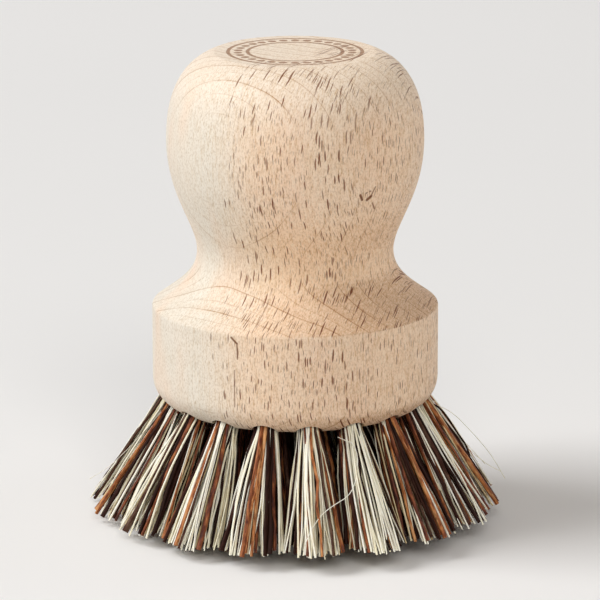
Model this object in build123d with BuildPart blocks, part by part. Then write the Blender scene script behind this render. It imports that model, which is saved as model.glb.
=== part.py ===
from build123d import *
import os
from math import atan, cos, degrees, pi, radians, sin, sqrt, tan

# A palm brush for scrubbing pots: a turned beech knob whose round foot is bored with four rings
# of blind holes. Each hole holds a bunch of stiff plant fibres, folded double and pinned by a
# flat wire staple. Knob and foot are one piece of wood, kept here as two solids that meet on a
# flat circle inside the foot. All sizes are in millimetres, +Z is up, and the origin is at the
# middle of the plane that the trimmed fibre tips stand on.

# Foot
foot_radius = 28.0
foot_height = 20.0  # flat underside to the shoulder's edge
foot_lower_round = 5.7
foot_upper_round = 0.7
seam_below_edge = 1.2  # where foot and knob meet, under the shoulder's edge

# Shoulder and waist, where the fingers go round
shoulder_slope = 38.0  # degrees from level, at the edge of the foot
shoulder_pull = 4.0
waist_radius = 19.2
waist_above_foot = 10.8
waist_lower_pull = 5.5
waist_upper_pull = 5.5

# Bulge and crown, where the palm rests
bulge_radius = 25.1
bulge_above_waist = 22.0
bulge_lower_pull = 11.0
bulge_upper_pull = 7.0
crown_above_bulge = 17.2
crown_flat_radius = 15.8
crown_slope = 18.0  # degrees below level, at the edge of the flat
crown_pull = 8.0

# Fibres and the holes that hold them
bristle_height = 20.7  # fibre tips to the flat underside
hole_diameter = 5.0
hole_depth = 10.0
tuft_clearance = 0.05
fold_height = 2.0  # folded fibre between the staple and the bottom of the hole
fold_round = 0.8
bunch_recess = 1.2  # where the packed bunch ends, inside the mouth of the hole
strand_grip = 1.8  # how far a strand runs up inside the packed bunch
strand_root_width = 0.5
strand_root_spread = 1.35  # radius of the outermost strands inside the bunch
strand_tip_width = 1.5
tip_gap = 0.2  # between the tips of neighbouring bunches
trim_depth = 0.5  # how much of the tips is cut flat
short_strand_gap = 0.4  # how far the shorter strands end above the trim

# Staples of flat wire, one across each bunch
staple_bite = 0.5  # how far each end goes into the wood beside the hole
staple_thickness = 0.5
staple_height = 2.0
staple_clearance = 0.03

# The four rings of holes: how many holes, how far from the axis at the underside, the lean of each
# hole, the angle of the first one, and how many strands stand on a bunch's circles, middle first
outer_ring_radius = 23.7
middle_ring_radius = 15.2
inner_ring_radius = 7.6
rings = [
    dict(name="outer", holes=18, radius=outer_ring_radius, lean=24.0, start=-83.7, circles=(1, 5, 9)),
    dict(name="middle", holes=12, radius=middle_ring_radius, lean=15.0, start=-75.0, circles=(1, 4, 6)),
    dict(name="inner", holes=6, radius=inner_ring_radius, lean=7.0, start=-90.0, circles=(1, 3, 5)),
    dict(name="centre", holes=1, radius=0.0, lean=0.0, start=-90.0, circles=(1, 3, 5)),
]
bunch_kinds = 3  # how many arrangements of strands take turns round a ring
turn_between_kinds = 37.0
short_strand_every = 4

# Levels and places that follow from the sizes above
foot_top = bristle_height + foot_height
seam_level = foot_top - seam_below_edge
waist_level = foot_top + waist_above_foot
bulge_level = waist_level + bulge_above_waist
crown_level = bulge_level + crown_above_bulge
hole_radius = hole_diameter / 2
bunch_radius = hole_radius - tuft_clearance
staple_width = hole_diameter + 2 * staple_bite
staple_depth = hole_depth - fold_height - staple_height / 2
staple_seat = (
    staple_width + 2 * staple_clearance,
    staple_thickness + 2 * staple_clearance,
    staple_height + 2 * staple_clearance,
)


def make_knob():
    """The turned knob: crown, bulge, waist and shoulder, down to the seam inside the foot."""
    slope = radians(shoulder_slope)
    dip = radians(crown_slope)
    with BuildPart() as knob:
        with BuildSketch(Plane.XZ):
            with BuildLine():
                Line((0, crown_level), (crown_flat_radius, crown_level))
                Bezier(
                    (crown_flat_radius, crown_level),
                    (crown_flat_radius + crown_pull * cos(dip), crown_level - crown_pull * sin(dip)),
                    (bulge_radius, bulge_level + bulge_upper_pull),
                    (bulge_radius, bulge_level),
                )
                Bezier(
                    (bulge_radius, bulge_level),
                    (bulge_radius, bulge_level - bulge_lower_pull),
                    (waist_radius, waist_level + waist_upper_pull),
                    (waist_radius, waist_level),
                )
                Bezier(
                    (waist_radius, waist_level),
                    (waist_radius, waist_level - waist_lower_pull),
                    (foot_radius - shoulder_pull * cos(slope), foot_top + shoulder_pull * sin(slope)),
                    (foot_radius, foot_top),
                )
                Line((foot_radius, foot_top), (foot_radius, seam_level))
                Line((foot_radius, seam_level), (0, seam_level))
                Line((0, seam_level), (0, crown_level))
            make_face()
        revolve(axis=Axis.Z)
        rims = knob.edges().filter_by(GeomType.CIRCLE)
        fillet(rims.sort_by(lambda rim: abs(rim.center().Z - foot_top))[0], foot_upper_round)
    knob.part.label = "knob"
    export_step(knob.part, "parts/knob.step")


def make_foot():
    """The round foot below the seam, bored and slotted for every bunch and its staple."""
    with BuildPart() as foot:
        with BuildSketch(Plane.XY.offset(bristle_height)):
            Circle(foot_radius)
        extrude(amount=seam_level - bristle_height)
        fillet(foot.edges().filter_by(GeomType.CIRCLE).sort_by(Axis.Z)[0], foot_lower_round)
        with Locations(*[hole_frame(ring, place) for ring, place in holes]):
            Hole(hole_radius, hole_depth)
        with Locations(*[staple_frame(ring, place) for ring, place in holes]):
            Box(*staple_seat, mode=Mode.SUBTRACT)
    foot.part.label = "foot"
    export_step(foot.part, "parts/foot.step")


def directions(ring, place):
    """The ways straight out from the axis and round the ring, at one of its holes."""
    turn = radians(ring["start"] + 360 * place / ring["holes"])
    return Vector(cos(turn), sin(turn), 0), Vector(-sin(turn), cos(turn), 0)


def hole_frame(ring, place):
    """The plane across a hole's mouth, with +Z out along the fibres and +X round the ring."""
    outwards, sideways = directions(ring, place)
    lean = radians(ring["lean"])
    mouth = outwards * ring["radius"] + Vector(0, 0, bristle_height)
    return Plane(origin=mouth, x_dir=sideways, z_dir=outwards * sin(lean) - Vector(0, 0, cos(lean)))


def staple_frame(ring, place):
    """The plane through the middle of the staple that pins a bunch."""
    return hole_frame(ring, place).offset(-staple_depth)


def tip_circle(ring):
    """How far the middle of a bunch's tips is from the axis, and the radius that the tips may fill."""
    reach = ring["radius"] + bristle_height * tan(radians(ring["lean"]))
    if ring["holes"] > 1:
        return reach, reach * sin(pi / ring["holes"]) - tip_gap / 2
    next_reach, next_room = tip_circle(rings[-2])
    return reach, next_reach - next_room - tip_gap


def strand_places(ring, kind):
    """Where the strands of a bunch stand, across and along the ring, as shares of its radius."""
    place_shares = []
    for number, count in enumerate(ring["circles"]):
        radius_share = number / (len(ring["circles"]) - 1)
        for step in range(count):
            angle = radians(turn_between_kinds * kind * (1 + number)) + 2 * pi * step / count
            place_shares.append((radius_share * cos(angle), radius_share * sin(angle)))
    return place_shares


def make_strand(root, tip, across):
    """One strand, a four-sided bar that widens from its root to its tip."""
    run = root - tip
    with BuildPart() as strand:
        with BuildSketch(Plane(origin=tip, x_dir=across, z_dir=run)):
            Rectangle(strand_tip_width, strand_tip_width)
        taper = degrees(atan((strand_tip_width - strand_root_width) / (2 * run.length)))
        extrude(amount=run.length, taper=taper)
    return strand.part


def make_bunch(ring, kind):
    """One bunch: the packed fold in its hole, slotted for the staple, and the strands below it."""
    mouth = hole_frame(ring, kind)
    outwards, sideways = directions(ring, kind)
    bunch_end = mouth.offset(-bunch_recess)
    grip = bunch_end.offset(-strand_grip)
    reach, room = tip_circle(ring)
    tip_spread = room - strand_tip_width / sqrt(2)
    strands = []
    for number, (across, aside) in enumerate(strand_places(ring, kind)):
        root = grip.from_local_coords((aside * strand_root_spread, across * strand_root_spread, 0))
        tip = outwards * (reach + across * tip_spread) + sideways * (aside * tip_spread)
        is_short = number % short_strand_every == 1
        tip += Vector(0, 0, short_strand_gap if is_short else -trim_depth)
        strands.append(make_strand(root, tip, sideways))
    with BuildPart() as bunch:
        with BuildSketch(bunch_end):
            Circle(bunch_radius)
        extrude(amount=bunch_recess + tuft_clearance - hole_depth)
        fillet(bunch.edges().sort_by(Axis(mouth.origin, mouth.z_dir))[0], fold_round)
        with Locations(staple_frame(ring, kind)):
            Box(*staple_seat, mode=Mode.SUBTRACT)
        add(strands)
        split(bisect_by=Plane.XY, keep=Keep.TOP)
    return bunch.part


def make_staples():
    """The flat wire staples, one through each bunch, as a group of separate solids."""
    with BuildPart() as staples:
        with Locations(*[staple_frame(ring, place) for ring, place in holes]):
            Box(staple_width, staple_thickness, staple_height)
    staples.part.label = "anchor_staples"
    export_step(staples.part, "parts/anchor_staples.step")


def make_tufts(ring):
    """A ring of bunches: each kind is made once and turned to its holes."""
    kinds = [make_bunch(ring, kind) for kind in range(min(bunch_kinds, ring["holes"]))]
    for place in range(ring["holes"]):
        kind = place % bunch_kinds
        with BuildPart() as tuft:
            add(kinds[kind].rotate(Axis.Z, 360 * (place - kind) / ring["holes"]))
        number = f"_{place + 1:02d}" if ring["holes"] > 1 else ""
        tuft.part.label = f"tuft_{ring['name']}{number}"
        export_step(tuft.part, f"parts/{tuft.part.label}.step")


holes = [(ring, place) for ring in rings for place in range(ring["holes"])]
os.makedirs("parts", exist_ok=True)
make_knob()
make_foot()
make_staples()
for ring in rings:
    make_tufts(ring)

print("strands", sum(sum(ring["circles"]) * ring["holes"] for ring in rings))
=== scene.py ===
import math
import random

import bpy
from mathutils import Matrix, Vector


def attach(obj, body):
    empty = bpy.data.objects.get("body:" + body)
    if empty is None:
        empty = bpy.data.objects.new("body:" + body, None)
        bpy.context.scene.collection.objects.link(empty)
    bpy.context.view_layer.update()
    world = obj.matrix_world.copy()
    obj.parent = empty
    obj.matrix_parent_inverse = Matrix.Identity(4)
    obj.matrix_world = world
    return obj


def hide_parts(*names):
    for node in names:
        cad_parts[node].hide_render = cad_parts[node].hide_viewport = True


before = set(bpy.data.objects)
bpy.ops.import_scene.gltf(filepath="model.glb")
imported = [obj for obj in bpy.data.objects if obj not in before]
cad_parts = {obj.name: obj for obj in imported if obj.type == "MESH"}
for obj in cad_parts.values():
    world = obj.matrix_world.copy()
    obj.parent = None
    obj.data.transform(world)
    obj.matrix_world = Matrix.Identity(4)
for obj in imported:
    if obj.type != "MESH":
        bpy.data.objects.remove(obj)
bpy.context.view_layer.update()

mm = 0.001


def clearSelection():
    if bpy.context.object and bpy.context.object.mode != "OBJECT":
        bpy.ops.object.mode_set(mode="OBJECT")
    bpy.ops.object.select_all(action="DESELECT")


# small helpers for the shader trees

def addNode(tree, kind, inputs=None, **settings):
    made = tree.nodes.new(kind)
    for name, value in settings.items():
        setattr(made, name, value)
    for name, value in (inputs or {}).items():
        setInput(tree, made.inputs[name], value)
    return made


def setInput(tree, socket, value):
    if isinstance(value, bpy.types.NodeSocket):
        tree.links.new(value, socket)
    elif socket.type == "RGBA":
        socket.default_value = (*value[:3], 1)
    else:
        socket.default_value = value


def maths(tree, operation, *values, clamp=False):
    made = tree.nodes.new("ShaderNodeMath")
    made.operation = operation
    made.use_clamp = clamp
    for place, value in enumerate(values):
        setInput(tree, made.inputs[place], value)
    return made.outputs[0]


def vectors(tree, operation, *values, number=False):
    made = tree.nodes.new("ShaderNodeVectorMath")
    made.operation = operation
    for place, value in enumerate(values):
        setInput(tree, made.inputs[place], value)
    return made.outputs[1 if number else 0]


def stretch(tree, place, across, sideways, along):
    return vectors(tree, "MULTIPLY", place, (1 / across, 1 / sideways, 1 / along))


def noiseOf(tree, place, detail=2.0, roughness=0.5):
    noise = addNode(tree, "ShaderNodeTexNoise", {"Vector": place, "Scale": 1.0, "Detail": detail})
    noise.inputs["Roughness"].default_value = roughness
    return noise.outputs[0]


def between(tree, value, low, high, toLow=0.0, toHigh=1.0, smooth=True):
    made = tree.nodes.new("ShaderNodeMapRange")
    made.interpolation_type = "SMOOTHSTEP" if smooth else "LINEAR"
    for place, number in enumerate((value, low, high, toLow, toHigh)):
        setInput(tree, made.inputs[place], number)
    return made.outputs[0]


def mixColours(tree, share, first, second, blend="MIX"):
    made = tree.nodes.new("ShaderNodeMix")
    made.data_type = "RGBA"
    made.blend_type = blend
    setInput(tree, made.inputs[0], share)
    setInput(tree, made.inputs[6], first)
    setInput(tree, made.inputs[7], second)
    return made.outputs[2]


def ramp(tree, value, stops):
    made = tree.nodes.new("ShaderNodeValToRGB")
    tree.links.new(value, made.inputs[0])
    points = made.color_ramp.elements
    while len(points) < len(stops):
        points.new(0.5)
    for point, (place, colour) in zip(points, stops):
        point.position = place
        point.color = (*colour, 1)
    return made.outputs[0]


def startMaterial(name):
    made = bpy.data.materials.new(name)
    made.use_nodes = True
    tree = made.node_tree
    return made, tree, tree.nodes["Principled BSDF"]


# camera: a long lens, a little above the brush
camera = {
    "distance": 1000 * mm,
    "elevation": 14.1,
    "target": (0.94 * mm, 0, 41.1 * mm),
    "lens": 306.2,
}


def addCamera():
    height = math.radians(camera["elevation"])
    target = Vector(camera["target"])
    place = target + camera["distance"] * Vector((0, -math.cos(height), math.sin(height)))
    bpy.ops.object.camera_add(location=place)
    made = bpy.context.object
    made.name = "productCamera"
    made.rotation_euler = (target - place).to_track_quat("-Z", "Y").to_euler()
    made.data.lens = camera["lens"]
    made.data.sensor_width = 36
    made.data.clip_end = 50
    bpy.context.scene.camera = made
    bpy.context.scene.view_settings.view_transform = "Standard"


# studio: a pale card floor, a wide soft window on the left, two faint cards and a dim pale room
studio = {
    "floorSize": 8.0,
    "floorFall": (1.9, 1.6),            # degrees to the front and right, because the brush leans back
    "floorDrop": 1.70 * mm,
    "floorColour": (0.868, 0.858, 0.850),
    "farFloor": (0.905, 0.895, 0.888),  # paler at the back, where less light falls
    "farReach": (0.12, 0.60),           # metres behind the brush
    "cloudSize": 0.3,
    "cloudDepth": 0.015,
    "lights": [
        {"name": "softWindow", "place": (-2.76, -0.36, 3.02), "size": (2.1, 2.1), "power": 127.5,
         "colour": (0.99, 0.995, 1.0)},
        {"name": "frontCard", "place": (0.15, -1.36, 1.22), "size": (1.0, 0.6), "power": 10.6,
         "colour": (1.0, 0.98, 0.95)},
        {"name": "sideCard", "place": (1.90, 0.75, 0.40), "size": (1.0, 0.8), "power": 6.5,
         "colour": (1.0, 0.985, 0.96)},
    ],
    "roomColour": (1.0, 0.97, 0.935),
    "roomStrength": (0.17, 0.24),       # at the horizon and overhead
    "aimHeight": 40 * mm,
}


def floorMaterial():
    made, tree, surface = startMaterial("paleCard")
    place = addNode(tree, "ShaderNodeTexCoord").outputs["Object"]
    cloudSize = studio["cloudSize"]
    cloudy = noiseOf(tree, stretch(tree, place, cloudSize, cloudSize, cloudSize), 2)
    away = addNode(tree, "ShaderNodeSeparateXYZ", {"Vector": place}).outputs[1]
    far = between(tree, away, *studio["farReach"])
    card = mixColours(tree, far, studio["floorColour"], studio["farFloor"])
    shade = between(tree, cloudy, 0.3, 0.7, studio["cloudDepth"], 0.0)
    colour = mixColours(tree, shade, card, (0, 0, 0))
    tree.links.new(colour, surface.inputs["Base Color"])
    surface.inputs["Roughness"].default_value = 0.85
    surface.inputs["Specular IOR Level"].default_value = 0.2
    return made


def addStudio():
    bpy.ops.mesh.primitive_plane_add(size=studio["floorSize"])
    floor = bpy.context.object
    floor.name = "studioFloor"
    floor.rotation_euler = [math.radians(angle) for angle in (*studio["floorFall"], 0)]
    floor.location.z = -studio["floorDrop"]
    bpy.ops.object.transform_apply()
    floor.data.materials.append(floorMaterial())

    aim = Vector((0, 0, studio["aimHeight"]))
    for light in studio["lights"]:
        place = Vector(light["place"])
        bpy.ops.object.light_add(type="AREA", location=place)
        lamp = bpy.context.object
        lamp.name = light["name"]
        lamp.data.shape = "RECTANGLE"
        lamp.data.size, lamp.data.size_y = light["size"]
        lamp.data.energy = light["power"]
        lamp.data.color = light["colour"]
        lamp.rotation_euler = (aim - place).to_track_quat("-Z", "Y").to_euler()
        lamp.visible_camera = False

    world = bpy.data.worlds.new("paleRoom")
    world.use_nodes = True
    bpy.context.scene.world = world
    tree = world.node_tree
    room = tree.nodes["Background"]
    room.inputs["Color"].default_value = (*studio["roomColour"], 1)
    way = addNode(tree, "ShaderNodeTexCoord").outputs["Generated"]
    height = addNode(tree, "ShaderNodeSeparateXYZ", {"Vector": way}).outputs[2]
    tree.links.new(between(tree, height, 0.0, 0.85, *studio["roomStrength"]), room.inputs["Strength"])
    # past the floor's edge the camera and gloss see the card's own colour
    seen = addNode(tree, "ShaderNodeBackground", {"Color": studio["floorColour"], "Strength": 1.0})
    rays = addNode(tree, "ShaderNodeLightPath")
    direct = maths(tree, "MAXIMUM", rays.outputs["Is Camera Ray"], rays.outputs["Is Glossy Ray"])
    mixed = addNode(tree, "ShaderNodeMixShader")
    tree.links.new(direct, mixed.inputs[0])
    tree.links.new(room.outputs[0], mixed.inputs[1])
    tree.links.new(seen.outputs[0], mixed.inputs[2])
    tree.links.new(mixed.outputs[0], tree.nodes["World Output"].inputs["Surface"])


# turned beech: rings, ray flecks and fine grain run right through the knob and its foot, in mm
beech = {
    "grainTurn": 125.0,         # degrees from X to the way out of the tree
    "pithDistance": 62.0,       # from the knob's axis to the heart of the tree
    "ringGap": 3.75,
    "ringWander": 6.0,
    "ringLine": 0.040,          # half a ring's line, as a share of the year
    "ringAt": 0.94,             # where in the year its line comes
    "falseRingAt": 0.47,
    "falseRingShare": 0.4,
    # the pale wood of the left side, partly its own tone and partly painted sheen of the window light
    "paleWoodAndSheen": (0.815, 0.75, 0.65),
    "warmWood": (0.94, 0.715, 0.525),
    "pinkWood": (0.91, 0.66, 0.485),
    # the crown's wood, partly its end grain's own tone and partly painted light on the top
    "crownWoodAndLight": (0.93, 0.80, 0.665),
    # painted shade for the right side, away from the window
    "paintedShadeRight": (0.95, 0.925, 0.895),
    "neckShade": (0.985, 0.935, 0.865),
    # painted shade for the right of the sloping shoulder, under the bulge's shadow
    "slopePaintedShade": (0.80, 0.74, 0.68),
    "fleckShade": (0.21, 0.07, 0.013),
    "markShade": (0.26, 0.14, 0.08),
    "ringShade": (0.62, 0.47, 0.33),
    "burntShade": (0.36, 0.215, 0.125),
    "grainShade": (0.89, 0.83, 0.74),
    "poreShade": (0.83, 0.74, 0.63),
    "glintShade": (0.95, 0.82, 0.66),
    "gritShade": (0.84, 0.80, 0.75),
    # where the tints, the painted sheen and the painted shade set in: across the tree, and by height
    "paleAndSheenSide": (-5, 13),
    "paintedShadeSide": (15, 25),
    "crownRise": (77, 90),
    "neckRise": (43, 50),
    "neckFall": (66, 56),
    "slopeFall": (62, 54),
    # ray flecks: one in a cell, whose size is along the ray, round the tree and up it
    "flecks": [
        {"cell": (22.0, 0.54, 4.8), "chance": (0.42, 0.50), "strength": 1.0},
        {"cell": (16.0, 0.44, 3.7), "chance": (0.42, 0.52), "strength": 0.95},
        {"cell": (8.0, 0.31, 2.6), "chance": (0.40, 0.70), "strength": 0.65},
    ],
    "fleckHalf": 0.30,          # share of a cell, from its middle
    "fleckSway": 0.55,
    "crowding": 0.15,
    "flatRays": (0.94, 0.82),   # how far the wood faces along the rings where the rays lie flat in it
    # upright ticks in their place there: a cell round the knob and up it
    "tickCell": (0.50, 3.9),
    "tickHalf": (0.28, 0.16),
    "tickChance": (0.50, 0.60),
    "tickRadius": 26.0,
    # a small knot, a chip and hair cracks: from, to, half width and strength
    "faults": [
        ((12.4, -20.9, 67.0), (12.8, -20.4, 65.9), 0.34, 1.0),
        ((13.8, -19.8, 65.8), (14.5, -19.4, 66.4), 0.50, 1.0),
        ((14.6, -19.4, 66.7), (15.3, -19.2, 68.2), 0.24, 0.8),
        ((13.5, -20.2, 67.2), (13.7, -20.1, 67.3), 0.26, 0.8),
        ((14.2, -19.8, 67.5), (14.4, -19.7, 67.5), 0.26, 0.8),
        ((14.8, -18.7, 64.9), (15.2, -17.8, 63.6), 0.26, 0.8),
        ((-12.2, -25.2, 40.0), (-11.1, -25.7, 38.9), 0.30, 0.95),
        ((-11.1, -25.7, 38.9), (-11.0, -25.7, 35.9), 0.20, 0.8),
        ((-11.6, -25.5, 33.6), (-11.6, -25.5, 26.4), 0.20, 0.6),
        ((-4.4, -19.5, 48.2), (-5.4, -21.4, 45.3), 0.24, 0.55),
        ((-5.4, -21.4, 45.3), (-7.5, -25.0, 42.1), 0.24, 0.55),
    ],
}


def woodStroke(tree, place, start, end, width):
    # one dark line on the wood, from start to end in mm
    first = Vector(start)
    way = Vector(end) - first
    offset = vectors(tree, "SUBTRACT", place, tuple(first))
    along = vectors(tree, "DOT_PRODUCT", offset, tuple(way), number=True)
    share = maths(tree, "DIVIDE", along, way.length_squared, clamp=True)
    foot = vectors(tree, "SCALE", tuple(way))
    tree.links.new(share, foot.node.inputs["Scale"])
    gap = vectors(tree, "LENGTH", vectors(tree, "SUBTRACT", offset, foot), number=True)
    return between(tree, gap, width, width * 0.35)


def fleckCells(tree, place, randomness, **settings):
    # each cell's chance and depth, and how far from its middle a point is for the cell's own size
    inputs = {"Vector": place, "Scale": 1.0, "Randomness": randomness}
    cells = addNode(tree, "ShaderNodeTexVoronoi", inputs, **settings)
    parts = addNode(tree, "ShaderNodeSeparateColor", {"Color": cells.outputs["Color"]})
    chance, growth, depth = parts.outputs
    size = between(tree, growth, 0, 1, 0.6, 1.15, smooth=False)
    return chance, depth, maths(tree, "DIVIDE", cells.outputs["Distance"], size)


def rayFlecks(tree, rays, acrossTree, upTree):
    # thin lenses lying along the radius of the tree, in three sizes
    flecks = []
    for layer in beech["flecks"]:
        cell = layer["cell"]
        strength = layer["strength"]
        wobble = noiseOf(tree, stretch(tree, vectors(tree, "ADD", rays, (cell[2], 0, 0)), 5, 4, 3), 1)
        swaying = maths(tree, "MULTIPLY", maths(tree, "SUBTRACT", wobble, 0.5), beech["fleckSway"])
        sway = addNode(tree, "ShaderNodeCombineXYZ", {"Y": swaying}).outputs[0]
        cellPlace = stretch(tree, vectors(tree, "ADD", rays, sway), *cell)
        chance, depth, spread = fleckCells(tree, cellPlace, 0.82)
        fleck = between(tree, spread, beech["fleckHalf"], beech["fleckHalf"] * 0.62)
        fleck = maths(tree, "MULTIPLY", fleck, between(tree, depth, 0, 1, 0.65, 1.0, smooth=False))
        # they crowd in places, leave the pale wood free and are closest on the neck and foot
        crowdPlace = vectors(tree, "ADD", rays, (0, 40 * strength, 0))
        crowd = noiseOf(tree, stretch(tree, crowdPlace, 14, 8, 18), 1)
        crowd = maths(tree, "MULTIPLY", maths(tree, "SUBTRACT", crowd, 0.5), beech["crowding"])
        crowd = maths(tree, "ADD", crowd, between(tree, acrossTree, -6, 8, -0.85, 0.13))
        crowd = maths(tree, "ADD", crowd, between(tree, upTree, 62, 50, 0.0, 0.12))
        chosen = between(tree, maths(tree, "ADD", chance, crowd), *layer["chance"])
        fleck = maths(tree, "MULTIPLY", fleck, chosen)
        flecks.append(maths(tree, "MULTIPLY", fleck, strength))
    return maths(tree, "MAXIMUM", maths(tree, "MAXIMUM", flecks[0], flecks[1]), flecks[2])


def turnedTicks(tree, placeMm):
    # short upright ticks, laid out round the knob
    east, north, up = addNode(tree, "ShaderNodeSeparateXYZ", {"Vector": placeMm}).outputs
    turn = maths(tree, "ARCTAN2", north, east)
    roundKnob = maths(tree, "MULTIPLY", turn, beech["tickRadius"])
    turnedPlace = addNode(tree, "ShaderNodeCombineXYZ", {"X": roundKnob, "Y": up}).outputs[0]
    cellPlace = stretch(tree, turnedPlace, *beech["tickCell"], 1.0)
    chance, depth, spread = fleckCells(tree, cellPlace, 0.85, voronoi_dimensions="2D")
    chosen = between(tree, chance, *beech["tickChance"])
    ticks = maths(tree, "MULTIPLY", between(tree, spread, *beech["tickHalf"]), chosen)
    return maths(tree, "MULTIPLY", ticks, between(tree, depth, 0, 1, 0.5, 1.0, smooth=False))


def woodFaults(tree, placeMm):
    faults = None
    for start, end, width, strength in beech["faults"]:
        line = maths(tree, "MULTIPLY", woodStroke(tree, placeMm, start, end, width), strength)
        faults = line if faults is None else maths(tree, "MAXIMUM", faults, line)
    return faults


def beechMaterial():
    made, tree, surface = startMaterial("turnedBeech")
    place = addNode(tree, "ShaderNodeTexCoord").outputs["Object"]
    placeMm = vectors(tree, "SCALE", place)
    placeMm.node.inputs["Scale"].default_value = 1000
    turned = addNode(tree, "ShaderNodeMapping", {"Vector": placeMm})
    turned.inputs["Rotation"].default_value = (0, 0, math.radians(beech["grainTurn"]))
    grain = turned.outputs[0]
    parts = addNode(tree, "ShaderNodeSeparateXYZ", {"Vector": grain})
    outOfTree, acrossTree, upTree = parts.outputs

    # growth rings, wandering a little, and the place of each point out along a ray and round the tree
    wander = noiseOf(tree, stretch(tree, grain, 30, 30, 60), 1.5)
    fromPith = maths(tree, "ADD", outOfTree, beech["pithDistance"])
    toPith = addNode(tree, "ShaderNodeCombineXYZ", {"X": fromPith, "Y": acrossTree})
    radius = vectors(tree, "LENGTH", toPith.outputs[0], number=True)
    treeTurn = maths(tree, "ARCTAN2", acrossTree, fromPith)
    roundTree = maths(tree, "MULTIPLY", treeTurn, beech["pithDistance"] + 18)
    rays = addNode(tree, "ShaderNodeCombineXYZ", {"X": radius, "Y": roundTree, "Z": upTree}).outputs[0]
    wandering = maths(tree, "MULTIPLY", maths(tree, "SUBTRACT", wander, 0.5), beech["ringWander"])
    years = maths(tree, "DIVIDE", maths(tree, "ADD", radius, wandering), beech["ringGap"])
    season = maths(tree, "FRACT", years)
    facing = addNode(tree, "ShaderNodeTexCoord").outputs["Normal"]
    facingUp = addNode(tree, "ShaderNodeSeparateXYZ", {"Vector": facing}).outputs[2]
    endGrain = maths(tree, "ABSOLUTE", facingUp)
    # a ring is cut thin across its edge and wide along its face, so its line is kept as thin there
    turnAngle = math.radians(beech["grainTurn"])
    outWay = (math.cos(turnAngle), -math.sin(turnAngle), 0)
    acrossWay = (math.sin(turnAngle), math.cos(turnAngle), 0)
    facingOut = vectors(tree, "DOT_PRODUCT", facing, outWay, number=True)
    squarely = maths(tree, "MULTIPLY", facingOut, facingOut)
    edgeOn = maths(tree, "SQRT", maths(tree, "SUBTRACT", 1.0, squarely, clamp=True))
    lineHalf = maths(tree, "MULTIPLY", maths(tree, "MAXIMUM", edgeOn, 0.2), beech["ringLine"])
    fromLine = maths(tree, "ABSOLUTE", maths(tree, "SUBTRACT", season, beech["ringAt"]))
    lateWood = between(tree, fromLine, lineHalf, maths(tree, "MULTIPLY", lineHalf, 0.3))
    # a fainter false ring half way through each year
    fromFalse = maths(tree, "ABSOLUTE", maths(tree, "SUBTRACT", season, beech["falseRingAt"]))
    falseRing = between(tree, fromFalse, lineHalf, maths(tree, "MULTIPLY", lineHalf, 0.3))
    lateWood = maths(tree, "MAXIMUM", lateWood, maths(tree, "MULTIPLY", falseRing, beech["falseRingShare"]))
    lateWood = maths(tree, "MAXIMUM", lateWood, between(tree, season, 0.55, 0.93, 0.0, 0.16))
    ringStrength = between(tree, noiseOf(tree, stretch(tree, grain, 9, 9, 16), 1), 0.35, 0.7, 0.5, 1.0)
    ringLines = maths(tree, "MULTIPLY", lateWood, ringStrength)
    ringLines = maths(tree, "MULTIPLY", ringLines, between(tree, endGrain, 0.12, 0.5, 0.12, 1.0))
    ringLines = maths(tree, "MULTIPLY", ringLines, between(tree, edgeOn, 0.1, 0.7, 0.45, 1.0))

    # broad drifts of colour, paler towards the left: partly the wood's own pale side and partly painted
    # sheen of the window light
    drift = noiseOf(tree, stretch(tree, grain, 24, 16, 55), 2)
    pink = noiseOf(tree, stretch(tree, vectors(tree, "ADD", grain, (70, 0, 0)), 14, 12, 40), 2)
    paleAndSheenShare = maths(tree, "ADD", between(tree, acrossTree, *beech["paleAndSheenSide"], 1.0, 0.0),
                      between(tree, upTree, 76, 90, 0.0, 0.25))
    drifting = maths(tree, "MULTIPLY", maths(tree, "SUBTRACT", drift, 0.5), 0.55)
    paleAndSheenShare = maths(tree, "ADD", paleAndSheenShare, drifting, clamp=True)
    colour = mixColours(tree, paleAndSheenShare, beech["warmWood"], beech["paleWoodAndSheen"])
    colour = mixColours(tree, between(tree, pink, 0.45, 0.75, 0.0, 0.55), colour, beech["pinkWood"])
    # paler at the crown: partly its end grain's own tone, partly painted light on the top, where the window
    # light falls at a slant
    crown = between(tree, upTree, *beech["crownRise"], 0.0, 0.85)
    colour = mixColours(tree, crown, colour, beech["crownWoodAndLight"])
    # painted shade: the right side, away from the window, is darkened
    awayShade = between(tree, acrossTree, *beech["paintedShadeSide"])
    colour = mixColours(tree, awayShade, colour, beech["paintedShadeRight"], "MULTIPLY")
    neck = maths(tree, "MULTIPLY", between(tree, upTree, *beech["neckRise"]),
                 between(tree, upTree, *beech["neckFall"]))
    neck = maths(tree, "MULTIPLY", neck, between(tree, acrossTree, -6, 8))
    colour = mixColours(tree, neck, colour, beech["neckShade"], "MULTIPLY")
    # painted shade on the right of the sloping shoulder, which faces away from the window under the bulge
    slope = maths(tree, "MULTIPLY", between(tree, endGrain, 0.25, 0.55),
                  between(tree, upTree, *beech["slopeFall"]))
    slope = maths(tree, "MULTIPLY", slope, between(tree, acrossTree, 4, 24))
    colour = mixColours(tree, slope, colour, beech["slopePaintedShade"], "MULTIPLY")

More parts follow.
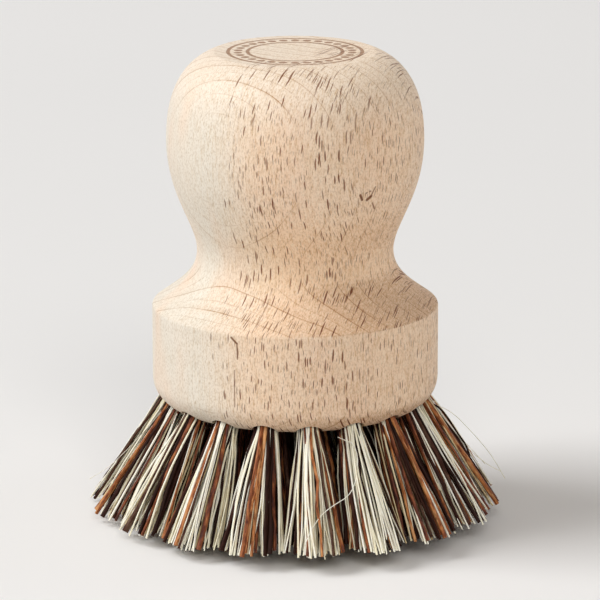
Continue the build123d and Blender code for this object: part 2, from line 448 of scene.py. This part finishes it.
    # fine upright grain, pores and grit, fainter where the wood is pale
    fine = noiseOf(tree, stretch(tree, rays, 1.6, 0.30, 4.5), 3, 0.6)
    pores = noiseOf(tree, stretch(tree, rays, 0.6, 0.22, 1.2), 2, 0.7)
    grit = noiseOf(tree, stretch(tree, rays, 0.5, 0.24, 0.5), 1)
    busy = between(tree, acrossTree, -16, 4, 0.25, 1.0)
    fineShare = maths(tree, "MULTIPLY", between(tree, fine, 0.48, 0.66), busy)
    poreShare = maths(tree, "MULTIPLY", between(tree, pores, 0.55, 0.66), busy)
    glint = maths(tree, "MULTIPLY", between(tree, pores, 0.48, 0.32), busy)
    colour = mixColours(tree, fineShare, colour, beech["grainShade"], "MULTIPLY")
    colour = mixColours(tree, poreShare, colour, beech["poreShade"], "MULTIPLY")
    colour = mixColours(tree, maths(tree, "MULTIPLY", glint, 0.40), colour, beech["glintShade"])
    colour = mixColours(tree, between(tree, grit, 0.44, 0.70), colour, beech["gritShade"], "MULTIPLY")
    colour = mixColours(tree, ringLines, colour, beech["ringShade"], "MULTIPLY")

    # ray flecks, and only short upright ticks where the rays lie flat in the surface
    facingAcross = maths(tree, "ABSOLUTE", vectors(tree, "DOT_PRODUCT", facing, acrossWay, number=True))
    cutAcross = between(tree, facingAcross, *beech["flatRays"])
    fleckShare = maths(tree, "MULTIPLY", rayFlecks(tree, rays, acrossTree, upTree), cutAcross)
    ticks = maths(tree, "MULTIPLY", turnedTicks(tree, placeMm), maths(tree, "SUBTRACT", 1.0, cutAcross))
    ticks = maths(tree, "MULTIPLY", ticks, between(tree, endGrain, 0.7, 0.4))
    fleckShare = maths(tree, "MAXIMUM", fleckShare, maths(tree, "MULTIPLY", ticks, busy))
    colour = mixColours(tree, fleckShare, colour, beech["fleckShade"], "MULTIPLY")

    faults = woodFaults(tree, placeMm)
    colour = mixColours(tree, faults, colour, beech["markShade"], "MULTIPLY")

    # two burnt rings and a row of dots on the crown
    burnt = burntPattern(tree, placeMm)
    burntTone = between(tree, pores, 0.3, 0.7, 0.75, 1.0)
    burntShare = maths(tree, "MULTIPLY", burnt, burntTone)
    colour = mixColours(tree, burntShare, colour, beech["burntShade"], "MULTIPLY")
    tree.links.new(colour, surface.inputs["Base Color"])

    roughness = between(tree, fine, 0.3, 0.7, 0.52, 0.62)
    roughness = maths(tree, "ADD", roughness, maths(tree, "MULTIPLY", fleckShare, 0.1))
    tree.links.new(roughness, surface.inputs["Roughness"])
    surface.inputs["Specular IOR Level"].default_value = 0.35

    # the fine grain stands up a little, and the rest is sunk in it
    height = maths(tree, "MULTIPLY", fine, 0.35)
    sunkParts = ((pores, 0.30), (fleckShare, 0.6), (ringLines, 0.15), (faults, 1.5), (burntShare, 1.2))
    for sunk, depth in sunkParts:
        height = maths(tree, "SUBTRACT", height, maths(tree, "MULTIPLY", sunk, depth))
    bump = addNode(tree, "ShaderNodeBump", {"Height": height, "Strength": 0.6, "Distance": 0.09 * mm})
    tree.links.new(bump.outputs[0], surface.inputs["Normal"])
    return made


# the burnt mark, in mm
burntMark = {
    "outerRing": 13.0,
    "innerRing": 9.2,
    "lineWidth": 0.74,
    "dots": 30,
    "dotCircle": 11.1,
    "dotRadius": 0.85,
    "above": 90.6,
}


def burntPattern(tree, placeMm):
    parts = addNode(tree, "ShaderNodeSeparateXYZ", {"Vector": placeMm}).outputs
    flat = addNode(tree, "ShaderNodeCombineXYZ", {"X": parts[0], "Y": parts[1]}).outputs[0]
    radius = vectors(tree, "LENGTH", flat, number=True)
    half = burntMark["lineWidth"] / 2
    lines = []
    for ringRadius in (burntMark["outerRing"], burntMark["innerRing"]):
        gap = maths(tree, "ABSOLUTE", maths(tree, "SUBTRACT", radius, ringRadius))
        lines.append(between(tree, gap, half * 1.3, half * 0.7))
    turn = maths(tree, "ARCTAN2", parts[1], parts[0])
    turn = maths(tree, "MULTIPLY", turn, burntMark["dots"] / (2 * math.pi))
    turn = maths(tree, "SUBTRACT", maths(tree, "FRACT", maths(tree, "ADD", turn, 100)), 0.5)
    sideways = maths(tree, "MULTIPLY", turn, 2 * math.pi * burntMark["dotCircle"] / burntMark["dots"])
    outwards = maths(tree, "SUBTRACT", radius, burntMark["dotCircle"])
    toDot = addNode(tree, "ShaderNodeCombineXYZ", {"X": sideways, "Y": outwards}).outputs[0]
    gap = vectors(tree, "LENGTH", toDot, number=True)
    dots = between(tree, gap, burntMark["dotRadius"] * 1.12, burntMark["dotRadius"] * 0.85)
    drawn = maths(tree, "MAXIMUM", maths(tree, "MAXIMUM", lines[0], lines[1]), dots)
    onCrown = maths(tree, "GREATER_THAN", parts[2], burntMark["above"])
    return maths(tree, "MULTIPLY", drawn, onCrown)


# drawn steel wire of the staples
staple = {
    "steel": (0.56, 0.55, 0.53),
    "dull": (0.30, 0.27, 0.24),
}


def stapleMaterial():
    made, tree, surface = startMaterial("drawnSteel")
    place = addNode(tree, "ShaderNodeTexCoord").outputs["Object"]
    placeMm = vectors(tree, "SCALE", place)
    placeMm.node.inputs["Scale"].default_value = 1000
    drawn = noiseOf(tree, stretch(tree, placeMm, 2.5, 2.5, 0.12), 3, 0.6)
    tarnish = noiseOf(tree, stretch(tree, placeMm, 1.8, 1.8, 1.2), 3, 0.6)
    share = between(tree, tarnish, 0.48, 0.75, 0.0, 0.8)
    tree.links.new(mixColours(tree, share, staple["steel"], staple["dull"]), surface.inputs["Base Color"])
    surface.inputs["Metallic"].default_value = 1.0
    polish = between(tree, drawn, 0.3, 0.7, 0.26, 0.42)
    roughness = maths(tree, "ADD", polish, maths(tree, "MULTIPLY", share, 0.2))
    tree.links.new(roughness, surface.inputs["Roughness"])
    bump = addNode(tree, "ShaderNodeBump", {"Height": drawn, "Strength": 0.4, "Distance": 0.02 * mm})
    tree.links.new(bump.outputs[0], surface.inputs["Normal"])
    return made


# plant fibres: each has its own tone, from 0 to 1, and drifts along its length
fibreLooks = {
    "pale": {
        "tones": [(0.0, (0.42, 0.28, 0.13)), (0.14, (0.76, 0.65, 0.40)), (0.32, (0.95, 0.92, 0.74)),
                  (0.65, (0.985, 0.970, 0.855)), (1.0, (0.99, 0.985, 0.93))],
        "toneShare": 0.85, "mottle": 0.6, "stain": (0.88, 0.80, 0.64), "stainShare": 0.25,
        "roughness": (0.38, 0.55), "relief": 0.03, "gloss": 0.5,
    },
    "brown": {
        "tones": [(0.0, (0.055, 0.013, 0.007)), (0.25, (0.15, 0.036, 0.014)), (0.5, (0.33, 0.10, 0.032)),
                  (0.75, (0.56, 0.215, 0.065)), (1.0, (0.74, 0.40, 0.17))],
        "toneShare": 0.70, "mottle": 2.3, "stain": (0.30, 0.15, 0.09), "stainShare": 0.30,
        "roughness": (0.48, 0.68), "relief": 0.12, "gloss": 0.25,
    },
    "dark": {
        "tones": [(0.0, (0.010, 0.003, 0.001)), (0.4, (0.030, 0.008, 0.004)), (0.7, (0.052, 0.016, 0.009)),
                  (0.85, (0.090, 0.041, 0.026)), (1.0, (0.17, 0.105, 0.072))],
        "toneShare": 0.80, "mottle": 1.5, "stain": (0.40, 0.26, 0.20), "stainShare": 0.5,
        "roughness": (0.55, 0.72), "relief": 0.07, "gloss": 0.12,
    },
}


# streaks and blotches: how often round a fibre and along it, and how rough
fibrePattern = {
    "streaks": (7, 0.4, 0.65),
    "blotches": (2.6, 0.40, 0.68),
    "apart": 97,                # sets fibres of different tones apart in the pattern
    "shine": (0.97, 0.86, 0.70),
}


def fibreNoise(tree, layout, own, pattern):
    often, long, roughness = fibrePattern[pattern]
    parts = addNode(tree, "ShaderNodeSeparateXYZ", {"Vector": layout}).outputs
    around = maths(tree, "MULTIPLY", parts[0], often)
    along = maths(tree, "MULTIPLY", parts[1], long)
    place = addNode(tree, "ShaderNodeCombineXYZ", {"X": around, "Y": along, "Z": own})
    return noiseOf(tree, place.outputs[0], 3, roughness)


def fibreMaterial(kind):
    look = fibreLooks[kind]
    made, tree, surface = startMaterial(kind + "Fibre")
    tone = addNode(tree, "ShaderNodeAttribute", attribute_name="tone").outputs["Fac"]
    layout = addNode(tree, "ShaderNodeUVMap", uv_map="strand").outputs[0]
    own = maths(tree, "MULTIPLY", tone, fibrePattern["apart"])
    streaks = fibreNoise(tree, layout, own, "streaks")
    blotches = fibreNoise(tree, layout, own, "blotches")

    drift = maths(tree, "MULTIPLY", maths(tree, "SUBTRACT", blotches, 0.5), look["mottle"])
    fromMiddle = maths(tree, "MULTIPLY", maths(tree, "SUBTRACT", tone, 0.5), look["toneShare"])
    ownTone = maths(tree, "ADD", fromMiddle, 0.5)
    colour = ramp(tree, maths(tree, "ADD", ownTone, drift, clamp=True), look["tones"])
    stained = between(tree, blotches, 0.42, 0.62, 0.0, look["stainShare"])
    colour = mixColours(tree, stained, colour, look["stain"], "MULTIPLY")
    streaked = between(tree, streaks, 0.48, 0.62, 0.0, 0.85)
    colour = mixColours(tree, streaked, colour, look["stain"], "MULTIPLY")
    shiny = between(tree, streaks, 0.46, 0.25, 0.0, 0.35)
    colour = mixColours(tree, shiny, colour, fibrePattern["shine"], "SOFT_LIGHT")
    tree.links.new(colour, surface.inputs["Base Color"])
    tree.links.new(between(tree, streaks, 0.3, 0.7, *look["roughness"]), surface.inputs["Roughness"])
    surface.inputs["Specular IOR Level"].default_value = look["gloss"]
    relief = look["relief"] * mm
    bump = addNode(tree, "ShaderNodeBump", {"Height": streaks, "Strength": 0.7, "Distance": relief})
    tree.links.new(bump.outputs[0], surface.inputs["Normal"])
    return made


# one stock strand of each thickness, upright, a unit long and a unit in radius
strandStock = {
    "pale": {"sides": 5, "rings": 16, "oval": 0.85, "lumpy": 0.08, "twist": 0.8},
    "brown": {"sides": 7, "rings": 16, "oval": 0.62, "lumpy": 0.20, "twist": 3.0},
    "dark": {"sides": 7, "rings": 16, "oval": 0.62, "lumpy": 0.18, "twist": 3.0},
    "stray": {"sides": 5, "rings": 25, "oval": 0.95, "lumpy": 0.05, "twist": 0.2},
}


def makeStock(kind):
    size = strandStock[kind]
    clearSelection()
    bpy.ops.mesh.primitive_circle_add(vertices=size["sides"], radius=1.0, fill_type="NGON")
    strand = bpy.context.object
    strand.name = kind + "Stock"
    bpy.ops.object.mode_set(mode="EDIT")
    bpy.ops.mesh.select_all(action="SELECT")
    bpy.ops.transform.resize(value=(1.0, size["oval"], 1.0))
    for ring in range(size["rings"] - 1):
        bpy.ops.mesh.extrude_region_move(
            TRANSFORM_OT_translate={"value": (0, 0, 1 / (size["rings"] - 1))})
    bpy.ops.mesh.select_all(action="SELECT")
    bpy.ops.mesh.normals_make_consistent(inside=False)
    bpy.ops.object.mode_set(mode="OBJECT")
    bpy.ops.object.shade_smooth_by_angle(angle=math.radians(80))
    # its own map: round the strand and along it
    mesh = strand.data
    layout = mesh.uv_layers.new(name="strand")
    for face in mesh.polygons:
        turns = []
        for corner in face.loop_indices:
            point = mesh.vertices[mesh.loops[corner].vertex_index].co
            turns.append(math.atan2(point.y / size["oval"], point.x) / (2 * math.pi) % 1.0)
        crossesSeam = max(turns) - min(turns) > 0.5
        for corner, turn in zip(face.loop_indices, turns):
            point = mesh.vertices[mesh.loops[corner].vertex_index].co
            layout.data[corner].uv = (turn + 1 if crossesSeam and turn < 0.5 else turn, point.z * 60)
    return strand


def ringFrames(points):
    # sideways directions for each ring, turned no more than the line turns
    frames = []
    side = None
    for number, point in enumerate(points):
        before = points[max(number - 1, 0)]
        after = points[min(number + 1, len(points) - 1)]
        ahead = (after - before).normalized()
        if side is None:
            side = ahead.orthogonal()
        side = (side - ahead * side.dot(ahead)).normalized()
        frames.append((side.copy(), ahead.cross(side)))
    return frames


def layStrand(stock, kind, points, width, tone, chance, look):
    # a copy of the stock strand bent along points, in mm
    mesh = stock.data.copy()
    rings = len(points) - 1
    frames = ringFrames(points)
    lumpy = strandStock[kind]["lumpy"]
    swell = [1 + chance.uniform(-lumpy, lumpy) for _ in points]
    start = chance.uniform(0, 2 * math.pi)
    twist = chance.uniform(-1, 1) * strandStock[kind]["twist"]
    for vertex in mesh.vertices:
        ring = round(vertex.co.z * rings)
        side, other = frames[ring]
        roll = start + twist * vertex.co.z
        across = vertex.co.x * math.cos(roll) - vertex.co.y * math.sin(roll)
        over = vertex.co.x * math.sin(roll) + vertex.co.y * math.cos(roll)
        reach = width / 2 * swell[ring]
        vertex.co = (points[ring] + side * across * reach + other * over * reach) * mm
    # painted shade: the half of a folded fibre that lies further inside the bunch is given a darker tone,
    # for the shade deep in the bunch
    tones = mesh.attributes.new("tone", "FLOAT", "POINT")
    inside = [kind != "stray" and point.co.z > 0.5 for point in stock.data.vertices]
    tones.data.foreach_set("value", [tone * (bristles["insidePaintedShade"] if far else 1.0) for far in inside])
    mesh.materials.clear()
    mesh.materials.append(look)
    strand = bpy.data.objects.new("strand", mesh)
    bpy.context.collection.objects.link(strand)
    return strand


def joinStrands(strands, name):
    clearSelection()
    for strand in strands:
        strand.select_set(True)
    bpy.context.view_layer.objects.active = strands[0]
    bpy.ops.object.join()
    bunch = bpy.context.object
    bunch.name = name
    bunch.data.name = name
    return bunch


# the holes of the foot ring by ring, the staples in them and the bunches out of them, in mm and degrees
boring = {
    "underside": 20.7,
    "holeRadius": 2.45,
    "stapleHalf": 0.27,
    "besideStaple": 7.2,
    "overStaple": 8.05,
    "flareShare": 0.36,
    # reach is how far out the tips' middle is, and spread the tips' own radius
    "rings": [
        {"name": "outer", "holes": 18, "radius": 23.7, "lean": 24.0, "start": -83.7,
         "reach": 34.9, "spread": 5.7},
        {"name": "middle", "holes": 12, "radius": 15.2, "lean": 15.0, "start": -75.0,
         "reach": 20.7, "spread": 5.3},
        {"name": "inner", "holes": 6, "radius": 7.6, "lean": 7.0, "start": -90.0,
         "reach": 10.1, "spread": 5.0},
        {"name": "centre", "holes": 1, "radius": 0.0, "lean": 0.0, "start": -90.0,
         "reach": 0.0, "spread": 5.0},
    ],
}

# what each bunch is mixed from: folded fibres of each kind
mixes = {
    "outer": {
        "fair": {"pale": 58, "brown": 5, "dark": 7},
        "pale": {"pale": 48, "brown": 5, "dark": 7},
        "mixed": {"pale": 34, "brown": 8, "dark": 9},
        "brown": {"pale": 24, "brown": 11, "dark": 9},
        "sparse": {"pale": 22, "brown": 13, "dark": 9},
        "dark": {"pale": 15, "brown": 6, "dark": 15},
    },
    # the bunches inside get more dark fibres and fewer pale ones, as painted shade for the shade that falls
    # among them
    "inside": {
        "pale": {"pale": 10, "brown": 6, "dark": 10},
        "brown": {"pale": 5, "brown": 9, "dark": 10},
        "dark": {"pale": 3, "brown": 5, "dark": 14},
    },
}

# how the fibres of each kind grow, in mm; the tips wander by a share of the bunch's spread
bristles = {
    "pale": {"width": (0.28, 0.49), "wander": 0.13, "bow": 0.55, "wave": 0.14},
    "brown": {"width": (0.48, 0.95), "wander": 0.07, "bow": 0.16, "wave": 0.05},
    "dark": {"width": (0.42, 0.95), "wander": 0.07, "bow": 0.16, "wave": 0.05},
    "kink": 0.12,               # of the brown and dark ones
    "longShare": 0.12,          # so many of the pale ones stand out by as much of the spread
    "cutUneven": 0.25,          # how far above the floor the pale ones are cut, and at most
    "cutMost": 0.8,
    "cutThick": 0.4,            # and the brown and dark ones
    "bends": 5,                 # points from a tip to the hole's mouth
    # how much darker the inner half of a folded fibre is painted, as shade
    "insidePaintedShade": 0.50,
    "tries": 14,                # places to choose the emptiest from
    "crowding": 5,              # a wide fibre keeps its width over this free
}

# which mix each hole of a ring gets, in turn
mixesInTurn = {
    "outer": ["pale", "fair", "brown", "mixed", "sparse", "pale", "brown", "dark", "brown",
              "pale", "dark", "brown", "dark", "mixed", "mixed", "pale", "fair", "mixed"],
    "middle": ["dark", "brown", "pale"],
    "inner": ["brown", "pale", "dark"],
    "centre": ["brown"],
}

# thick fibres that show at the front of a bunch: kind, sideways and outwards on the bunch, width, tone
shownFibres = {
    "outer_01": [
        ("brown", 0.02, 0.86, 0.75, 0.80), ("dark", 0.96, 0.15, 1.1, 0.95),
        ("brown", 0.80, 0.50, 0.95, 0.62),
    ],
    "outer_02": [("brown", -0.55, 0.55, 0.7, 0.35), ("dark", 0.62, 0.62, 0.8, 0.2)],
    "outer_03": [
        ("brown", 0.05, 0.92, 1.25, 0.85), ("brown", -0.55, 0.75, 1.0, 0.25),
        ("dark", -0.25, 0.85, 1.0, 0.3), ("brown", 0.45, 0.80, 1.05, 0.55), ("dark", 0.75, 0.55, 1.1, 0.3),
    ],
    "outer_04": [
        ("dark", -0.25, 0.85, 0.9, 0.2), ("dark", 0.25, 0.85, 0.9, 0.75), ("brown", 0.65, 0.7, 0.9, 0.2),
    ],
    "outer_05": [
        ("brown", -0.35, 0.85, 1.0, 0.75), ("brown", 0.1, 0.9, 0.9, 0.45), ("dark", 0.4, 0.8, 0.9, 0.6),
    ],
    "outer_18": [
        ("brown", 0.18, 0.90, 1.0, 0.95), ("dark", 0.48, 0.82, 1.0, 0.35), ("dark", 0.80, 0.55, 1.1, 0.2),
        ("dark", -0.85, 0.45, 1.0, 0.5), ("dark", -0.62, 0.70, 0.9, 0.1),
    ],
    "outer_17": [
        ("brown", -0.28, 0.88, 0.85, 0.78), ("brown", 0.62, 0.70, 0.95, 0.30),
        ("dark", 0.88, 0.4, 0.9, 0.1),
    ],
    "outer_16": [
        ("dark", -0.12, 0.90, 1.15, 0.98), ("brown", 0.55, 0.75, 1.0, 0.35), ("dark", 0.30, 0.70, 1.0, 0.2),
    ],
    "outer_15": [
        ("brown", -0.45, 0.85, 1.25, 0.92), ("brown", -0.05, 0.92, 1.15, 0.70),
        ("dark", 0.35, 0.85, 1.05, 0.3),
    ],
    "outer_14": [("dark", -0.2, 0.9, 0.6, 0.3), ("dark", 0.3, 0.8, 0.8, 0.95)],
}


def mixFor(ring, number):
    inTurn = mixesInTurn[ring["name"]]
    return inTurn[number % len(inTurn)]


def spreadOver(taken, chance):
    # the emptiest of some places on the half circle beside the staple
    best = None
    for _ in range(bristles["tries"]):
        turn = chance.uniform(0, math.pi)
        reach = math.sqrt(chance.uniform(0.01, 1.0))
        sideways = reach * math.cos(turn)
        outwards = reach * math.sin(turn)
        gap = min([math.hypot(sideways - x, outwards - y) - w for x, y, w in taken] or [1])
        if best is None or gap > best[0]:
            best = (gap, sideways, outwards)
    return best[1], best[2]


def bunchFibres(ring, number, name, chance):
    # kind, place on the half circle, width and tone of each folded fibre
    mix = dict(mixes["outer" if ring["name"] == "outer" else "inside"][mixFor(ring, number)])
    fibres = []
    taken = []
    for kind, sideways, outwards, width, tone in shownFibres.get(name, []):
        fibres.append((kind, sideways, outwards, width, tone))
        taken.append((sideways, outwards, width / bristles["crowding"]))
        mix[kind] = max(mix[kind] - 1, 0)
    for kind in ("brown", "dark", "pale"):
        for _ in range(mix[kind]):
            width = chance.uniform(*bristles[kind]["width"])
            sideways, outwards = spreadOver(taken, chance)
            fibres.append((kind, sideways, outwards, width, chance.random()))
            taken.append((sideways, outwards, width / bristles["crowding"]))
    return fibres


def holeWays(ring, number):
    # straight out from the axis, round the ring, out along the hole and across it
    turn = math.radians(ring["start"] + 360 * number / ring["holes"])
    lean = math.radians(ring["lean"])
    outwards = Vector((math.cos(turn), math.sin(turn), 0))
    sideways = Vector((-math.sin(turn), math.cos(turn), 0))
    down = outwards * math.sin(lean) - Vector((0, 0, math.cos(lean)))
    over = outwards * math.cos(lean) + Vector((0, 0, math.sin(lean)))
    return outwards, sideways, down, over


def fibreLine(ring, number, fibre, chance):
    # tip, mouth, over the staple, mouth and tip again, in mm
    kind, sideShare, outShare, width, tone = fibre
    growth = bristles[kind]
    pale = kind == "pale"
    outwards, sideways, down, over = holeWays(ring, number)
    mouth = outwards * ring["radius"] + Vector((0, 0, boring["underside"]))
    room = boring["holeRadius"] - width / 2
    inner = boring["stapleHalf"] + width / 2
    legs = []
    for face in (1, -1):    # the outer half of the fold, then the inner
        across = sideShare * room * 0.98
        away = inner + outShare * max(math.sqrt(max(room * room - across * across, 0.01)) - inner, 0.02)
        flared = away * (1 + boring["flareShare"] * (ring["name"] == "outer" and face == 1))
        start = mouth + sideways * across + over * face * flared
        tipSide = sideShare + chance.gauss(0, growth["wander"])
        tipOut = face * max(outShare, 0.06) + chance.gauss(0, growth["wander"])
        far = math.hypot(tipSide, tipOut)
        long = pale and chance.random() < bristles["longShare"]
        most = 1.0 + (bristles["longShare"] if long else 0)
        if far > most:
            tipSide *= most / far
            tipOut *= most / far
        if pale:
            lift = min(abs(chance.gauss(0, bristles["cutUneven"])), bristles["cutMost"])
        else:
            lift = chance.uniform(0.0, bristles["cutThick"])
        tip = outwards * (ring["reach"] + tipOut * ring["spread"])
        tip += sideways * tipSide * ring["spread"] * 1.08
        tip.z = width / 2 + lift
        bow = Vector((chance.gauss(0, 1), chance.gauss(0, 1), 0)) * growth["bow"]
        wave = Vector((chance.gauss(0, 1), chance.gauss(0, 1), 0)) * growth["wave"]
        phase = chance.uniform(0, 6.28)
        leg = []
        for step in range(bristles["bends"]):
            share = 1 - step / bristles["bends"]
            sway = bow * 4 * share * (1 - share) + wave * math.sin(phase + share * 7) * share
            if not pale and step:
                sway += Vector((chance.gauss(0, bristles["kink"]), chance.gauss(0, bristles["kink"]), 0))
            leg.append(start.lerp(tip, share) + sway)
        leg.append(start)
        leg.append(mouth - down * boring["besideStaple"] + sideways * across + over * face * away)
        leg.append(mouth - down * (boring["overStaple"] + width / 2 + away * 0.45)
                   + sideways * across + over * face * away * 0.45)
        legs.append(leg)
    return legs[0] + legs[1][::-1]


# the few fibres that stand away from the rest: bunch, kind, width, tone, points in mm
strays = [
    ("outer_05", "stray", 0.13, 0.55, [
        (24.5, 0.5, 20.9), (30.2, 0.2, 18.6), (34.3, 0, 14.8), (38.4, 0, 9.9), (41.5, 0, 4.7),
    ]),
    ("outer_05", "stray", 0.12, 0.45, [
        (24.0, 2.2, 20.9), (28.2, 1.5, 18.0), (33.6, 0.2, 11.5), (37.5, -0.8, 8.2), (40.6, -1.5, 6.6),
    ]),
    ("outer_05", "stray", 0.12, 0.50, [
        (24.6, 3.5, 20.9), (28.3, 4.0, 18.8), (29.4, 3.6, 15.4), (33.0, 3.0, 12.0), (37.6, 2.4, 7.0),
    ]),
    ("outer_05", "dark", 0.42, 0.20, [
        (24.6, -0.5, 20.9), (28.5, 0, 19.1), (32.2, 0, 13.8), (33.9, 0, 11.0), (35.2, 0, 6.2),
    ]),
    ("outer_02", "pale", 0.17, 0.92, [
        (8.2, -25.0, 20.2), (9.6, -26.2, 19.9), (11.2, -26.4, 19.1), (12.0, -27.6, 16.5),
        (11.6, -30.0, 13.0), (10.2, -32.0, 10.6), (7.4, -34.0, 9.2), (5.2, -35.4, 7.8),
        (3.2, -37.2, 5.4), (1.8, -39.2, 2.8),
    ]),
    ("outer_14", "stray", 0.13, 0.70, [
        (-24.2, 1.5, 20.9), (-29.0, 1.2, 16.5), (-34.5, 0.5, 9.0), (-39.6, -0.5, 3.0),
    ]),
    ("outer_14", "stray", 0.12, 0.80, [
        (-24.5, -1.0, 20.9), (-30.0, -1.5, 14.5), (-36.0, -2.5, 8.5), (-40.5, -3.0, 5.5),
    ]),
    ("outer_15", "stray", 0.12, 0.75, [
        (-23.2, -6.5, 20.9), (-29.0, -8.0, 15.0), (-35.0, -9.5, 8.0), (-39.0, -10.5, 3.5),
    ]),
]


def smoothLine(points, count):
    # points along a smooth line through the given ones
    knots = [Vector(p) for p in points]
    knots = [knots[0] * 2 - knots[1]] + knots + [knots[-1] * 2 - knots[-2]]
    line = []
    for step in range(count):
        place = step / (count - 1) * (len(knots) - 3)
        first = min(int(place), len(knots) - 4)
        t = place - first
        a, b, c, d = knots[first:first + 4]
        line.append(0.5 * (2 * b + (c - a) * t + (2 * a - 5 * b + 4 * c - d) * t * t
                           + (3 * b - a - 3 * c + d) * t ** 3))
    return line


def addBristles():
    looks = {kind: fibreMaterial(kind) for kind in fibreLooks}
    looks["stray"] = looks["pale"]
    stocks = {kind: makeStock(kind) for kind in strandStock}
    total = 0
    for ring in boring["rings"]:
        for number in range(ring["holes"]):
            name = ring["name"] + (f"_{number + 1:02d}" if ring["holes"] > 1 else "")
            chance = random.Random("palm " + name)
            strands = []
            for fibre in bunchFibres(ring, number, name, chance):
                kind, sideShare, outShare, width, tone = fibre
                line = fibreLine(ring, number, fibre, chance)
                strands.append(layStrand(stocks[kind], kind, line, width, tone, chance, looks[kind]))
            for bunch, kind, width, tone, points in strays:
                if bunch == name:
                    line = smoothLine(points, strandStock["stray"]["rings"])
                    stock = stocks["stray"]
                    strands.append(layStrand(stock, "stray", line, width, tone, chance, looks[kind]))
            total += len(strands)
            bunch = joinStrands(strands, "bristles_" + name)
            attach(bunch, "root")
            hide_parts("tuft_" + name)
    for stock in stocks.values():
        bpy.data.objects.remove(stock)
    print("bristles:", total, "folded and stray fibres")


# the round foot, in mm: its edge breaks into the outer holes, whose mouths are flared by the fibres
footWood = {
    "radius": 28.0,
    "top": 39.5,
    "lowerRound": 5.7,
    "sides": 192,
    "roundSteps": 12,
    "boreRadius": 2.5,
    "boreDepth": 10.0,
    "boreBelow": 4,             # how far a cutter stands out of the wood
    "boreSides": 32,
    "flareDepth": 4.6,
    "flareLean": 12.5,          # degrees more than the hole's own
    "flareRadius": 2.55,
    "flareLength": 12,
    "smoothAngle": 32,
}


def boreCutter(place, way, radius, length):
    # an upright cylinder turned to lie along way, with its top at place
    bpy.ops.mesh.primitive_cylinder_add(
        vertices=footWood["boreSides"], radius=radius * mm, depth=length * mm,
        location=(place + way * length / 2) * mm)
    cutter = bpy.context.object
    cutter.rotation_euler = (-way).to_track_quat("Z", "X").to_euler()
    bpy.ops.object.transform_apply()
    return cutter


def boreWood(wood, cutters):
    clearSelection()
    for cutter in cutters:
        cutter.select_set(True)
    bpy.context.view_layer.objects.active = cutters[0]
    bpy.ops.object.join()
    cutter = bpy.context.object
    clearSelection()
    wood.select_set(True)
    bpy.context.view_layer.objects.active = wood
    bored = wood.modifiers.new("bored", "BOOLEAN")
    bored.operation = "DIFFERENCE"
    bored.solver = "EXACT"
    bored.object = cutter
    bpy.ops.object.modifier_apply(modifier="bored")
    bpy.data.objects.remove(cutter)


def addFoot():
    clearSelection()
    height = footWood["top"] - boring["underside"]
    bpy.ops.mesh.primitive_cylinder_add(
        vertices=footWood["sides"], radius=footWood["radius"] * mm, depth=height * mm,
        location=(0, 0, (boring["underside"] + height / 2) * mm))
    foot = bpy.context.object
    foot.name = "boredFoot"
    bpy.ops.object.transform_apply()
    bpy.ops.object.mode_set(mode="EDIT")
    bpy.ops.mesh.select_all(action="DESELECT")
    bpy.ops.object.mode_set(mode="OBJECT")
    for edge in foot.data.edges:
        ends = [foot.data.vertices[end].co.z for end in edge.vertices]
        edge.select = max(ends) < (boring["underside"] + 0.01) * mm
    bpy.ops.object.mode_set(mode="EDIT")
    bpy.ops.mesh.select_mode(type="EDGE")
    bpy.ops.mesh.bevel(offset=footWood["lowerRound"] * mm, segments=footWood["roundSteps"], profile=0.5)
    bpy.ops.object.mode_set(mode="OBJECT")

    bores = []
    flares = []
    for ring in boring["rings"]:
        for number in range(ring["holes"]):
            outwards, sideways, down, over = holeWays(ring, number)
            mouth = outwards * ring["radius"] + Vector((0, 0, boring["underside"]))
            clearSelection()
            top = mouth - down * footWood["boreDepth"]
            length = footWood["boreDepth"] + footWood["boreBelow"]
            bores.append(boreCutter(top, down, footWood["boreRadius"], length))
            if ring["name"] == "outer":
                lean = math.radians(ring["lean"] + footWood["flareLean"])
                flareWay = outwards * math.sin(lean) - Vector((0, 0, math.cos(lean)))
                top = mouth - down * footWood["flareDepth"]
                flares.append(boreCutter(top, flareWay, footWood["flareRadius"], footWood["flareLength"]))
    boreWood(foot, bores)
    boreWood(foot, flares)
    bpy.ops.object.shade_smooth_by_angle(angle=math.radians(footWood["smoothAngle"]))
    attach(foot, "root")
    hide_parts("foot")
    print("foot:", len(foot.data.polygons), "faces")
    return foot


def dressWood():
    wood = beechMaterial()
    for piece in (bpy.data.objects["knob"], addFoot()):
        piece.data.materials.clear()
        piece.data.materials.append(wood)
    steel = stapleMaterial()
    bpy.data.objects["anchor_staples"].data.materials.clear()
    bpy.data.objects["anchor_staples"].data.materials.append(steel)


addCamera()
addStudio()
print("studio: camera, floor and lights are set")
dressWood()
print("wood: beech and staple steel are on")
addBristles()

clearSelection()
